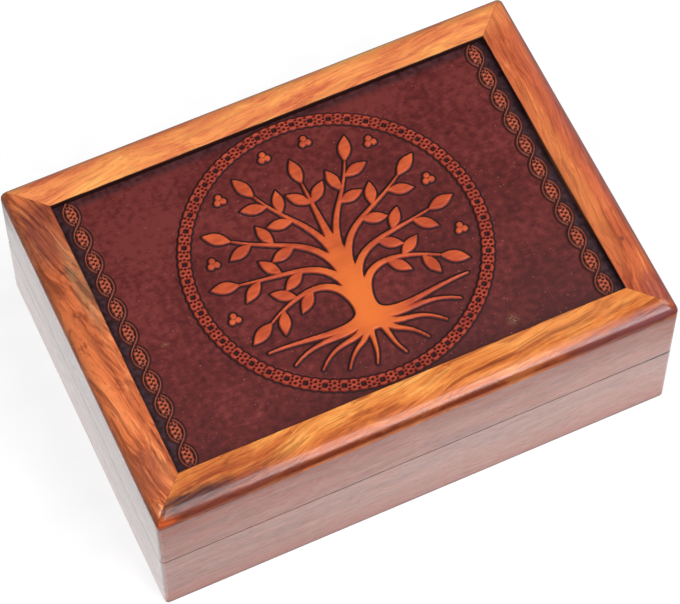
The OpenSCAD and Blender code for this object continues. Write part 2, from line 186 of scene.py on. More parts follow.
# %% [markdown]
# ## Floor and light
# The box stands on white paper. The paper itself is a grey-white that takes the shadow, and rays that
# the camera or a polished surface sends out find it brighter, so that it reads as white without more
# light on the box. What the polish mirrors of it is a painted reflection. It fades a few centimetres
# from the box, which leaves the edges of the lid a dark outline. It is brightest on the left, duller
# close to the foot of the front and darker still where the paper meets the box, both painted shade,
# and dullest before the left front corner. The lamps are soft boxes, as strong as their face should
# look bright. Two large ones hang where the flat top and the rounded front edge cannot mirror them,
# and two narrow panels in front draw the highlight on that edge.

# %% Floor
paper_glow_level = 0.76
floor_drop = 0.2 * mm
front_mirror, left_mirror, foot_mirror = 1.1, 1.2, 0.72
front_fade, left_fade = (19 * mm, 32 * mm), (18 * mm, 44 * mm)
foot_shade_reach, contact_shade_reach = 12 * mm, 1.2 * mm
bpy.ops.mesh.primitive_grid_add(
    x_subdivisions=8, y_subdivisions=8, size=12, location=(0, 0, -floor_drop))
floor = bpy.context.object
floor.name = "floor"
bpy.ops.object.transform_apply()
paper = bpy.data.materials.new("white_paper")
net = Net(paper)
seen = net.put("LightPath").outputs
paper_place = net.place()
off = net.vector("SUBTRACT", net.vector("ABSOLUTE", paper_place), (half_length, half_depth, 0))
far = net.vector("LENGTH", net.vector("MAXIMUM", off, (0, 0, 0)))
along = net.parts(paper_place)[0]
# What polished surfaces see of the paper is a painted reflection shaped round the box; it is dimmed at
# the foot of the front and where the paper meets the box as painted shade.
before = net.rescale(far, *front_fade, front_mirror, 0)
before = net.math("MINIMUM", before, net.rescale(far, 0, foot_shade_reach, foot_mirror, front_mirror))
before = net.times(before, net.rescale(far, 0, contact_shade_reach, 0.5, 1))
before = net.times(before, net.rescale(along, -75 * mm, 20 * mm, 0.78, 1.04))
beside = net.rescale(far, *left_fade, left_mirror, 0)
left_of_box = net.math("LESS_THAN", along, -half_length)
painted_reflection = net.times(net.rescale(left_of_box, 0, 1, before, beside), seen["Is Glossy Ray"])
looked_at = net.math("MAXIMUM", seen["Is Camera Ray"], painted_reflection)
looked_at = net.math("MAXIMUM", looked_at, seen["Is Transmission Ray"])
tooth = net.put("TexNoise", {"Scale": 900}).outputs[0]
paper_colour = net.shades(tooth, [(0.3, (0.27, 0.27, 0.27)), (0.7, (0.31, 0.31, 0.31))])
paper_body = net.put("BsdfDiffuse", {"Color": paper_colour})
paper_glow = net.put("Emission", {"Strength": net.times(looked_at, paper_glow_level)})
paper_both = net.put("AddShader", {0: paper_body.outputs[0], 1: paper_glow.outputs[0]})
net.put("OutputMaterial", {"Surface": paper_both.outputs[0]})
floor.data.materials.append(paper)
floor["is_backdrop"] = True
print("floor is", [round(d, 2) for d in floor.dimensions], "m")

# %% Studio walls
studio = bpy.data.worlds.new("studio")
bpy.context.scene.world = studio
net = Net(studio)
dim_wall = net.put("Background", {"Color": (0.95, 0.96, 1, 1), "Strength": 0.2})
white_wall = net.put("Background", {"Color": (1, 1, 1, 1)})
walls = net.put("MixShader", {
    0: net.put("LightPath").outputs["Is Camera Ray"], 1: dim_wall.outputs[0], 2: white_wall.outputs[0]})
net.put("OutputWorld", {"Surface": walls.outputs[0]})
print("studio walls ready")

# %% Lamps
lamp_aim = Vector((0, 0, 0.05))


def soft_box(name, place, width, height, brightness, tint=(1, 1, 1)):
    bpy.ops.object.light_add(type="AREA", location=place)
    lamp = bpy.context.object
    lamp.name = name
    lamp.data.shape = "RECTANGLE"
    lamp.data.size, lamp.data.size_y = width, height
    lamp.data.color = tint
    lamp.data.energy = brightness * math.pi * width * height
    lamp.rotation_euler = (Vector(place) - lamp_aim).to_track_quat("Z", "Y").to_euler()
    lamp.visible_camera = False
    return lamp


rosy = (1, 0.95, 0.97)
lamps = [
    soft_box("left_lamp", (-1.45, -0.35, 2.15), 1.5, 1.5, 4.1),
    soft_box("right_lamp", (1.45, -0.35, 2.15), 1.5, 1.5, 4.1),
    soft_box("front_panel", (0.37, -1.42, 0.56), 0.5, 0.7, 8.2, rosy),
    soft_box("upper_panel", (0.26, -0.98, 1.18), 0.5, 0.8, 5.5, rosy),
]
print("lamps:", [(lamp.name, round(lamp.data.energy, 1)) for lamp in lamps])

# %% [markdown]
# ## Modelling helpers
# A piece starts as a block at its real size and place. In edit mode the edges or faces to work on
# are picked by where they lie, which is what a hand with a mouse does by looking. The saw is
# bisect: it slices the block along a plane, throws one side away and closes the cut.

# %% Helpers for solid pieces
hair = 0.001 * mm


def add_block(name, low, high):
    middle = [(a + b) / 2 for a, b in zip(low, high)]
    size = [b - a for a, b in zip(low, high)]
    bpy.ops.mesh.primitive_cube_add(size=1, location=middle, scale=size)
    block = bpy.context.object
    block.name = block.data.name = name
    bpy.ops.object.transform_apply()
    return block


def make_active(piece):
    bpy.ops.object.select_all(action="DESELECT")
    piece.select_set(True)
    bpy.context.view_layer.objects.active = piece


def edit(piece, picked="SELECT", kind="VERT"):
    make_active(piece)
    bpy.ops.object.mode_set(mode="EDIT")
    bpy.ops.mesh.select_mode(type=kind)
    bpy.ops.mesh.select_all(action=picked)


def leave_edit():
    bpy.ops.object.mode_set(mode="OBJECT")


def round_edges(piece, wanted, radius, segments):
    edit(piece, "DESELECT", "EDGE")
    shape = bmesh.from_edit_mesh(piece.data)
    for edge in shape.edges:
        edge.select_set(wanted(edge.verts[0].co, edge.verts[1].co))
    bmesh.update_edit_mesh(piece.data)
    bpy.ops.mesh.bevel(offset=radius, segments=segments, affect="EDGES")
    leave_edit()


def saw(piece, place, facing, drop=True):
    edit(piece)
    bpy.ops.mesh.bisect(
        plane_co=place, plane_no=facing, use_fill=drop, clear_outer=drop, threshold=hair)
    leave_edit()


def near(value, target, within=0.01 * mm):
    return abs(value - target) < within


def edges_at(height):
    return lambda a, b: near(a.z, height) and near(b.z, height)


print("modelling helpers ready")

# %% [markdown]
# ## Rails
# The maker glues up four mitred rails and then rounds them over all at once with a router, so the
# corners flow into each other. We do the same: one block for the whole frame, its top edge and its
# corners rounded, is sawn into four rails along the mitres. A hair of air in each mitre shows the glue
# line, and a line round the lid marks how far down its edge is worn.

# %% Blocks for the two frames
corner_radius = 1.5 * mm
top_radius = 5.0 * mm
arris = 0.15 * mm
wear_below_round = 1.6 * mm
worn_to = lid_top - top_radius - wear_below_round

lid_frame = add_block(
    "lid_frame", (-half_length, -half_depth, seam_high), (half_length, half_depth, lid_top))
round_edges(lid_frame, edges_at(lid_top), top_radius, 10)


def on_lid_corner(a, b):
    on_mitre = [near(half_length - abs(p.x), half_depth - abs(p.y)) for p in (a, b)]
    return all(on_mitre) and not near(a.z, b.z)


round_edges(lid_frame, on_lid_corner, corner_radius, 4)
round_edges(lid_frame, edges_at(seam_high), arris, 2)
saw(lid_frame, (0, 0, worn_to), (0, 0, 1), drop=False)

base_frame = add_block(
    "base_frame", (-half_length, -half_depth, base_low.z), (half_length, half_depth, seam_low))
round_edges(base_frame, lambda a, b: not near(a.z, b.z), corner_radius, 4)
for height in (seam_low, base_low.z):
    round_edges(base_frame, edges_at(height), arris, 2)
print("frames:", len(lid_frame.data.polygons), "and", len(base_frame.data.polygons), "faces")

# %% Saw the frames into rails
glue_line = 0.03 * mm
sides = {"front": (0, -1), "back": (0, 1), "left": (-1, 0), "right": (1, 0)}


def saw_rail(block, name, out_x, out_y):
    make_active(block)
    bpy.ops.object.duplicate()
    rail = bpy.context.object
    rail.name = rail.data.name = name
    for turn in (-1, 1):
        along_x, along_y = -out_y * turn, out_x * turn
        corner_x = half_length * (out_x + along_x)
        corner_y = half_depth * (out_y + along_y)
        facing = Vector((along_x - out_x, along_y - out_y, 0)).normalized()
        place = Vector((corner_x, corner_y, 0)) - facing * glue_line
        saw(rail, place, facing)
    saw(rail, (out_x * inner_x, out_y * inner_y, 0), (-out_x, -out_y, 0))
    return rail


def throw_away(*pieces):
    for piece in pieces:
        bpy.data.objects.remove(piece)


rails = {}
for side, (out_x, out_y) in sides.items():
    for part, block in (("lid", lid_frame), ("base", base_frame)):
        rails[part, side] = saw_rail(block, f"{part}_{side}_wood", out_x, out_y)
throw_away(lid_frame, base_frame)
print("rails:", [rail.name for rail in rails.values()])

# %% Soften the inner edges and cut the groove and the rabbet
lip_arris = 0.3 * mm


def inner_edge_of(out_x, out_y):
    def wanted(a, b):
        inside = [near(p.x * out_x + p.y * out_y, inner_x if out_x else inner_y) for p in (a, b)]
        return all(inside) and near(a.z, b.z)
    return wanted


def cut_out(piece, waste):
    make_active(piece)
    cut = piece.modifiers.new("cut", "BOOLEAN")
    cut.operation = "DIFFERENCE"
    cut.solver = "EXACT"
    cut.object = waste
    bpy.ops.object.modifier_apply(modifier=cut.name)


for (part, side), rail in rails.items():
    round_edges(rail, inner_edge_of(*sides[side]), lip_arris, 2)

groove = add_block(
    "groove", (-inner_x - groove_depth, -inner_y - groove_depth, board_low.z),
    (inner_x + groove_depth, inner_y + groove_depth, ground + groove_play))
rabbet_low, rabbet_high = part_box("base_bottom_panel")
rabbet_play = 0.2 * mm
rabbet = add_block(
    "rabbet", (rabbet_low.x - rabbet_play, rabbet_low.y - rabbet_play, -mm),
    (rabbet_high.x + rabbet_play, rabbet_high.y + rabbet_play, rabbet_high.z))
for (part, side), rail in rails.items():
    cut_out(rail, groove if part == "lid" else rabbet)
throw_away(groove, rabbet)
print("groove cut for the board, rabbet for the bottom")

# %% [markdown]
# ## Room for the hinges
# Along the back both frames are bevelled, so that the lid can lean back past upright, and each
# hinge lies in a shallow mortise with a round trough for its barrel.

# %% Back bevels and hinge mortises
axis = Vector(frame["joints"][0]["pos_m"])
bevel_slope = math.radians(52)
hinge_play = 0.25 * mm
mortise_depth = 1.1 * mm
hands = ("left", "right")
ups = {"lid": 1, "base": -1}
for (part, side), rail in rails.items():
    if side != "front":
        edge = Vector((0, axis.y, seams[part]))
        saw(rail, edge, (0, math.sin(bevel_slope), -ups[part] * math.cos(bevel_slope)))

for hand in hands:
    for part, up in ups.items():
        leaf_low, leaf_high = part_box("%s_hinge_%s_leaf" % (hand, part))
        pin_low, pin_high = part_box("%s_hinge_pin" % hand)
        barrel = (leaf_high.y - axis.y) + hinge_play
        middle = (pin_low.x + pin_high.x) / 2
        bpy.ops.mesh.primitive_cylinder_add(
            vertices=48, radius=barrel, depth=pin_high.x - pin_low.x + 2 * hinge_play,
            location=(middle, axis.y, axis.z), rotation=(0, math.radians(90), 0))
        trough = bpy.context.object
        bed, beyond = seams[part] + up * mortise_depth, seams[part] - up * mm
        mortise = add_block(
            "mortise", (leaf_low.x - hinge_play, leaf_low.y - hinge_play, min(bed, beyond)),
            (leaf_high.x + hinge_play, axis.y, max(bed, beyond)))
        for waste in (trough, mortise):
            cut_out(rails[part, "back"], waste)
        throw_away(trough, mortise)
print("hinges let in:", hands)

# %% [markdown]
# ## Smooth and level faces
# A narrow bevel takes the turn of the light, and the wide face beside it should look level up to
# its edges. Weighted normals see to that: at a shared corner the largest face decides.


# %% Smooth the rounded edges of the rails
def smooth_by_angle(piece, degrees):
    make_active(piece)
    bpy.ops.object.shade_smooth_by_angle(angle=math.radians(degrees))


block_angle, soft_angle = 32, 60
for rail in rails.values():
    smooth_by_angle(rail, block_angle)
    level_faces = rail.modifiers.new("level_faces", "WEIGHTED_NORMAL")
    level_faces.keep_sharp = True
    bpy.ops.object.modifier_apply(modifier=level_faces.name)
print("rails smoothed")

# %% [markdown]
# ## Carving
# A carver sinks the ground round a drawing and then rounds the raised edges. We lay a fine grid over
# the board and ask, for each of its points, how deep it lies inside the drawing. Points outside stay
# on the ground, points inside rise, and near an edge they rise in a quarter round. The points closest
# to an outline are slid onto it, so that outlines stay crisp, and faces far from the drawing are
# deleted. A narrow skirt of ground is kept round each outline, where the tool burnt it and where the
# finish paints shade. The depth stays on the points as an attribute, so that the finish can follow the
# outlines.

# %% Helper that carves one relief from a drawing
skirt = 0.8
scorch_low, scorch_high = 0.02, 0.08
edge_round = 0.5


def rise_of(depth):
    outside = scorch_low + (scorch_high - scorch_low) * np.clip(1 + depth / skirt, 0, 1)
    share = np.clip(depth / edge_round, 0, 1)
    inside = scorch_high + (carving_rise / mm - scorch_high) * np.sqrt(1 - (1 - share) ** 2)
    return np.where(depth > 0, inside, outside)


def slope_of(drawing, x, y, step=0.02):
    across = drawing(x + step, y) - drawing(x - step, y)
    along = drawing(x, y + step) - drawing(x, y - step)
    return across / (2 * step), along / (2 * step)


def points_of(piece):
    points = np.zeros(3 * len(piece.data.vertices), np.float32)
    piece.data.vertices.foreach_get("co", points)
    return points.reshape(-1, 3)


def move_points(piece, points):
    piece.data.vertices.foreach_set("co", points.astype(np.float32).ravel())
    piece.data.update()


def keep_on_points(relief, name, values):
    note = relief.data.attributes.new(name, "FLOAT", "POINT")
    note.data.foreach_set("value", values.astype(np.float32))


def carve(name, low, high, pitch, drawing, marking=None):
    counts = [int(round((b - a) / pitch)) for a, b in zip(low, high)]
    bpy.ops.mesh.primitive_grid_add(x_subdivisions=counts[0], y_subdivisions=counts[1], size=2)
    relief = bpy.context.object
    relief.name = relief.data.name = name
    points = points_of(relief).astype(float)
    x = low[0] + (points[:, 0] + 1) / 2 * (high[0] - low[0])
    y = low[1] + (points[:, 1] + 1) / 2 * (high[1] - low[1])
    depth = drawing(x, y)
    close = np.abs(depth) < 0.6 * pitch
    across, along = slope_of(drawing, x[close], y[close])
    steep = np.maximum(across ** 2 + along ** 2, 0.2)
    x[close] -= depth[close] * across / steep
    y[close] -= depth[close] * along / steep
    depth[close] = 0
    z = ground / mm + rise_of(depth)
    move_points(relief, np.stack([x, y, z], 1) * mm)
    keep_on_points(relief, "depth", depth)
    if marking:
        keep_on_points(relief, "knot", marking(x, y))
    edit(relief, "DESELECT", "FACE")
    shape = bmesh.from_edit_mesh(relief.data)
    shape.verts.ensure_lookup_table()
    far = depth < -skirt
    for face in shape.faces:
        face.select_set(all(far[v.index] for v in face.verts))
    bmesh.update_edit_mesh(relief.data)
    bpy.ops.mesh.delete(type="FACE")
    leave_edit()
    return relief


print("carving helper ready")

# %% [markdown]
# ## The tree
# The medallion holds a plain tree of life: a trunk, four limbs a side with leaves to the right and
# to the left in turn, roots that spread to the ring and seeds in threes between the limbs. A limb is
# a tapering curve of four points, given as shares of the radius inside the ring. Its first width, as
# a share of the trunk's, and the place of its first leaf follow. The right half is mirrored.

# %% Lines of the tree
tree_radius = 45.0
trunk_width = 8.0
leaf_length, leaf_width = 10, 4.2
seed_radius = 1.15
tip_width, trunk_top_width = 0.1, 0.6
side_leaves = 3
limb_fillet, leaf_fillet = 0.8, 0.25
tree_pitch = 0.25
limbs = [
    ([(0.04, -0.54), (0.05, -0.16), (0.32, -0.16), (0.64, -0.34)], 0.44, 0.58),
    ([(0.03, -0.44), (0.04, 0), (0.32, -0.06), (0.72, 0.02)], 0.42, 0.57),
    ([(0.02, -0.34), (0.03, 0.18), (0.3, 0.12), (0.64, 0.36)], 0.4, 0.57),
    ([(0.01, -0.24), (0.01, 0.28), (0.2, 0.28), (0.35, 0.62)], 0.38, 0.62),
]
roots = [
    ([(0.03, -0.46), (0.06, -0.7), (0.42, -0.54), (0.76, -0.55)], 0.44),
    ([(0.03, -0.52), (0.16, -0.74), (0.36, -0.54), (0.63, -0.71)], 0.36),
    ([(0.03, -0.54), (0.14, -0.8), (0.26, -0.6), (0.47, -0.82)], 0.34),
    ([(0.02, -0.56), (0.12, -0.82), (0.16, -0.68), (0.3, -0.89)], 0.32),
    ([(0.01, -0.56), (0.08, -0.76), (0.04, -0.8), (0.11, -0.93)], 0.3),
]
trunk = ([(0, -0.6), (0, -0.5), (0, -0.3), (0, 0)], 1)
shoot = ([(0, -0.1), (0, 0.1), (0, 0.3), (0, 0.58)], 0.5)
last_leaf = 0.88
shoot_pair = 0.78
leaf_turn = math.radians(46)
side_leaf = 0.92
seed_places = [(0.16, 0.89), (0.585, 0.7), (0.83, 0.25), (0.87, -0.21)]
print("tree:", len(limbs), "limbs and", len(roots), "roots a side")


# %% Depth inside the drawing
def on_curve(curve, t):
    p = np.array(curve) * tree_radius
    point = (1 - t) ** 3 * p[0] + 3 * t * (1 - t) ** 2 * p[1] + 3 * t * t * (1 - t) * p[2] + t ** 3 * p[3]
    slope = (1 - t) ** 2 * (p[1] - p[0]) + 2 * t * (1 - t) * (p[2] - p[1]) + t * t * (p[3] - p[2])
    return point, slope


def join(first, second, fillet=0.5):
    share = np.clip(0.5 + 0.5 * (first - second) / fillet, 0, 1)
    return second + (first - second) * share + fillet * share * (1 - share)


def limb_depth(limb, x, y, last_width=tip_width, steps=14):
    curve, first_width = limb[:2]
    best = np.full_like(x, -1e3)
    ends = [on_curve(curve, i / steps)[0] for i in range(steps + 1)]
    for i in range(steps):
        start, run = ends[i], ends[i + 1] - ends[i]
        share = np.clip(((x - start[0]) * run[0] + (y - start[1]) * run[1]) / (run @ run), 0, 1)
        reach = np.hypot(x - start[0] - share * run[0], y - start[1] - share * run[1])
        width = first_width + (last_width - first_width) * (i + share) / steps
        best = np.maximum(best, trunk_width / 2 * width - reach)
    return best


def leaf_depth(root, turn, size, x, y):
    length, width = size * leaf_length, size * leaf_width
    along = (x - root[0]) * math.cos(turn) + (y - root[1]) * math.sin(turn)
    across = np.abs(-(x - root[0]) * math.sin(turn) + (y - root[1]) * math.cos(turn))
    share = np.clip(along / length, 0, 1)
    half = width / 2 * np.sin(np.pi * share)
    lean = math.pi * width / 2 / length * np.cos(np.pi * share)
    side = (half - across) / np.sqrt(1 + lean ** 2)
    beyond = np.maximum(along - length, -along)
    return np.where(beyond > 0, -np.hypot(beyond, across), side)


def leaf_on(limb, t, turn, size):
    point, slope = on_curve(limb[0], t)
    return point, math.atan2(slope[1], slope[0]) + turn, size


def leaves_of(limb):
    first = limb[2]
    for i in range(side_leaves):
        place = first + (last_leaf - first) * i / (side_leaves - 1)
        yield leaf_on(limb, place, leaf_turn if i % 2 else -leaf_turn, side_leaf)
    yield leaf_on(limb, 1, 0, 1)


def tree_depth(x, y):
    right_x = np.abs(x)
    depth = join(limb_depth(trunk, right_x, y, trunk_top_width), limb_depth(shoot, right_x, y))
    for limb in limbs + roots:
        depth = join(depth, limb_depth(limb, right_x, y), limb_fillet)
    leaves = [leaf_on(shoot, 1, 0, 1), leaf_on(shoot, shoot_pair, -leaf_turn, side_leaf)]
    for limb in limbs:
        leaves += leaves_of(limb)
    for root, turn, size in leaves:
        depth = join(depth, leaf_depth(root, turn, size, right_x, y), leaf_fillet)
    for place in seed_places:
        for lean in map(math.radians, (90, 210, 330)):
            seed_x = place[0] * tree_radius + seed_radius * math.cos(lean)
            seed_y = place[1] * tree_radius + seed_radius * math.sin(lean)
            depth = join(depth, seed_radius - np.hypot(right_x - seed_x, y - seed_y), leaf_fillet)
    return depth


reach = tree_radius + 0.5
carved_tree = carve("carved_tree", (-reach, -reach), (reach, reach), tree_pitch, tree_depth)
print("tree:", len(carved_tree.data.polygons), "faces")

# %% [markdown]
# ## The ring
# A pierced chain border runs round the tree. It repeats fifty times: a square eye, a small dot on
# each side of it, two dots before the next eye and four along the edges. The drawing is laid out
# straight, as a strip, and the strip is then wrapped round the middle of the board.

# %% Drawing of the ring
ring_middle = 48.0
ring_width = 4.2
ring_repeats = 50
ring_pitch = 0.18
eye_half, eye_corner = 0.75, 0.25
scallop_depth = 0.16
repeat = 2 * math.pi * ring_middle / ring_repeats


def soft_square(x, y, half, corner):
    over_x = np.abs(x) - half + corner
    over_y = np.abs(y) - half + corner
    outside = np.hypot(np.maximum(over_x, 0), np.maximum(over_y, 0))
    return corner - outside - np.minimum(np.maximum(over_x, over_y), 0)


def ring_strip_depth(s, r):
    place = (s / repeat + 0.5) % 1 - 0.5
    along, out = np.abs(place * repeat), np.abs(r)
    depth = ring_width / 2 - 0.15 + scallop_depth * np.cos(4 * math.pi * place) - out
    depth = np.minimum(depth, -soft_square(along, r, eye_half, eye_corner))
    dots = [(along - 0.28 * repeat, r, 0.3), (repeat / 2 - along, out - 0.85, 0.36),
            (along - 0.25 * repeat, out - 1.2, 0.28)]
    for off_along, off_out, radius in dots:
        depth = np.minimum(depth, np.hypot(off_along, off_out) - radius)
    return depth


half_strip = math.pi * ring_middle
carved_ring = carve(
    "carved_ring", (-half_strip, -ring_width / 2 - skirt), (half_strip, ring_width / 2 + skirt),
    ring_pitch, ring_strip_depth)
points = points_of(carved_ring)
turn = points[:, 0] / (ring_middle * mm)
radius = points[:, 1] + ring_middle * mm
move_points(carved_ring, np.stack([radius * np.sin(turn), radius * np.cos(turn), points[:, 2]], 1))
print("ring:", len(carved_ring.data.polygons), "faces")

# %% [markdown]
# ## The braids
# Along each short side runs a twist of two strands. Where they cross, the strand that leans to the
# right always lies on top, and the other dives under it. The loops are a little rounder than a plain
# wave, so some of a third of the wavelength is mixed in. A small woven knot fills each loop, with a
# scalloped outline and two rows of holes, and a mark on its points gives it a brighter finish.

# %% Drawing of a braid
braid_middle = 71.1
braid_width = 5.4
strand_width = 0.52
braid_length = 2 * inner_y / mm
loops = 11
loop_length = braid_length / loops
swing = (braid_width - strand_width) / 2
roundness = 0.05
crossing_gap = 0.6
knot_half = (1.6, 3.4)
knot_slope, knot_scallops, knot_scallop_depth = 1.4, 10, 0.09
hole_rows, hole_step, hole_off, hole_radius = 7, 0.8, 0.52, 0.36
braid_pitch = 0.16


def strand_depth(x, y, side):
    turn = math.pi * y / loop_length
    reach = side * swing / (1 - roundness)
    middle = reach * (np.sin(turn) + roundness * np.sin(3 * turn))
    lean = reach * math.pi / loop_length * (np.cos(turn) + 3 * roundness * np.cos(3 * turn))
    return strand_width / 2 - np.abs(x - middle) / np.sqrt(1 + lean ** 2)


def in_loop(x, from_end):
    along = (from_end / loop_length) % 1 * loop_length - loop_length / 2
    return along, x / knot_half[0], along / knot_half[1]


def knot_depth(x, from_end):
    along, u, v = in_loop(x, from_end)
    scallop = knot_scallop_depth * np.cos(knot_scallops * np.arctan2(u, v))
    depth = knot_slope * (1 - scallop - np.hypot(u, v))
    for row in range(hole_rows):
        from_middle = row - hole_rows // 2
        hole_x = (hole_off if row % 2 else -hole_off) * (1 - 0.06 * from_middle ** 2)
        depth = np.minimum(depth, np.hypot(x - hole_x, along - from_middle * hole_step) - hole_radius)
    return depth


def braid_depth(x, y):
    from_end = y + braid_length / 2
    crossing = np.round(from_end / loop_length)
    first, second = [strand_depth(x, from_end, side) for side in (1, -1)]
    even = crossing % 2 == 0
    upper, lower = np.where(even, first, second), np.where(even, second, first)
    depth = np.maximum(upper, np.minimum(lower, -upper - crossing_gap))
    depth = np.maximum(depth, knot_depth(x, from_end))
    return np.minimum(depth, braid_length / 2 - np.abs(y))


def knot_mark(x, y):
    along, u, v = in_loop(x, y + braid_length / 2)
    return np.clip(8 * (1.12 - np.hypot(u, v)), 0, 1)


braids = []
for side, name in ((-1, "left_braid"), (1, "right_braid")):
    middle = side * braid_middle
    low = (middle - braid_width / 2 - skirt, -braid_length / 2)
    high = (middle + braid_width / 2 + skirt, braid_length / 2)
    braids.append(carve(
        name, low, high, braid_pitch,
        lambda x, y, middle=middle: braid_depth(x - middle, y),
        lambda x, y, middle=middle: knot_mark(x - middle, y)))
print("braids:", [len(braid.data.polygons) for braid in braids], "faces")

# %% Close the carved pieces below and smooth them
root_depth = 0.4 * mm


def close_below(relief):
    edit(relief)
    bpy.ops.mesh.remove_doubles(threshold=2 * hair)
    bpy.ops.mesh.normals_make_consistent()
    bpy.ops.mesh.select_mode(type="EDGE")
    bpy.ops.mesh.select_all(action="DESELECT")
    bpy.ops.mesh.select_non_manifold(
        extend=False, use_wire=False, use_boundary=True, use_multi_face=False,
        use_non_contiguous=False, use_verts=False)
    bpy.ops.mesh.extrude_region_move(TRANSFORM_OT_translate={"value": (0, 0, -root_depth)})
    bpy.ops.mesh.fill()
    bpy.ops.mesh.select_all(action="SELECT")
    bpy.ops.mesh.normals_make_consistent()
    leave_edit()
    smooth_by_angle(relief, soft_angle)


reliefs = [carved_tree, carved_ring] + braids
for relief in reliefs:
    close_below(relief)
print("closed:", [len(relief.data.polygons) for relief in reliefs])

# %% [markdown]
# ## The board under the carving
# The board is one plain panel whose edges sit in the groove. Only its top shows, so a block with
# softened edges is enough.

# %% Board
board = add_block("carved_board", board_low, (board_high.x, board_high.y, ground))
board_arris = 0.4 * mm
round_edges(board, lambda a, b: True, board_arris, 2)
smooth_by_angle(board, block_angle)
print("board:", [round(d / mm, 1) for d in board.dimensions], "mm")

# %% [markdown]
# ## Velvet liners
# The inside is lined with thin cards covered in velvet. Cloth pulled round a card gives it soft
# edges and a slight crown, so each card is subdivided, the middle of its open face is lifted a
# little, and a bevel limited by angle rounds its rim.

# %% Liners
liner_nodes = ["floor_liner", "lid_ceiling_liner"] + [
    f"{part}_{side}_wall_liner" for part in ("base", "lid") for side in sides]
box_middle = Vector((0, 0, lid_top / 2))
crown = 0.35 * mm
card_cuts = 11


def crown_of(share):
    return 1 - (2 * share - 1) ** 4


liners = {}
for node in liner_nodes:
    low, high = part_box(node)
    card = add_block(node + "_velvet", low, high)
    thin = min(range(3), key=lambda i: high[i] - low[i])
    flat = [i for i in range(3) if i != thin]
    inward = 1 if box_middle[thin] > (low[thin] + high[thin]) / 2 else -1
    open_face = high[thin] if inward > 0 else low[thin]
    edit(card)
    bpy.ops.mesh.subdivide(number_cuts=card_cuts)
    leave_edit()
    for point in card.data.vertices:
        if near(point.co[thin], open_face):
            shares = [(point.co[i] - low[i]) / (high[i] - low[i]) for i in flat]
            point.co[thin] += inward * crown * crown_of(shares[0]) * crown_of(shares[1])
    rim = card.modifiers.new("rim", "BEVEL")
    rim.width = 0.4 * (high[thin] - low[thin])
    rim.segments = 3
    rim.limit_method = "ANGLE"
    rim.angle_limit = math.radians(50)
    bpy.ops.object.modifier_apply(modifier=rim.name)
    smooth_by_angle(card, soft_angle)
    liners[node] = card
print("liners:", len(liners))

# %% [markdown]
# ## Rosewood
# A finish needs a few more kinds of nodes, so they get names first. The rails are an oily reddish
# hardwood: broad bands from brown to gold, thin growth rings and dark streaks that cross a rail at a
# slant, fine fibres, and short dark pores. The rings are the level lines of a smooth noise, as on a
# map. The texture is solid, so streaks on the top of a rail run on down its side. A stain is a soft
# patch of colour: its middle, half size, colour and strength. Most are heartwood, and a few are
# painted shadow, shade and reflection. A line along an edge is dirt in the seam, a redder foot of the
# base, and painted shade at all the others: an axis, a place on it, a reach, a colour and a strength.
# A clear polish lies over it all. It fills the grain unevenly and is not quite level, which breaks up
# the highlight on the rounded edge. It is written as weight, roughness and refraction, then the gloss
# of the wood below.

# %% Names for the nodes of a finish
class FinishNet(Net):
    def noted(self, name):
        return self.put("Attribute", attribute_name=name).outputs["Fac"]

    def stretched(self, vector, stretch):
        return self.put("Mapping", {"Vector": vector, "Scale": (stretch, 1, 1)}).outputs[0]

    def noise(self, vector, scale, detail, roughness=0.5, output=0):
        return self.put("TexNoise", {
            "Vector": vector, "Scale": scale, "Detail": detail, "Roughness": roughness}).outputs[output]

    def mixed(self, first, *others):
        total = self.times(*first)
        for other in others:
            total = self.math("ADD", total, self.times(*other))
        return total

    def how_far(self, place, middle, half):
        off = self.vector("SUBTRACT", place, Vector(middle) * mm)
        return self.vector("LENGTH", self.vector("DIVIDE", off, Vector(half) * mm))

    def blend(self, share, below, above, kind="MIX"):
        below, above = [(*c, 1) if isinstance(c, tuple) else c for c in (below, above)]
        return self.put(
            "Mix", {0: share, 6: below, 7: above}, data_type="RGBA", blend_type=kind).outputs[2]

    def bump(self, height, strength, distance, **more):
        sockets = {"Height": height, "Strength": strength, "Distance": distance * mm, **more}
        return self.put("Bump", sockets).outputs[0]

    def surface(self, sockets):
        body = self.put("BsdfPrincipled", sockets)
        self.put("OutputMaterial", {"Surface": body.outputs[0]})


def new_finish(name):
    finish = bpy.data.materials.new(name)
    return finish, FinishNet(finish)


print("finish nodes named")

# %% Finish of the rails
growth_rings = 13
dark_mark = (0.38, 0.28, 0.27)


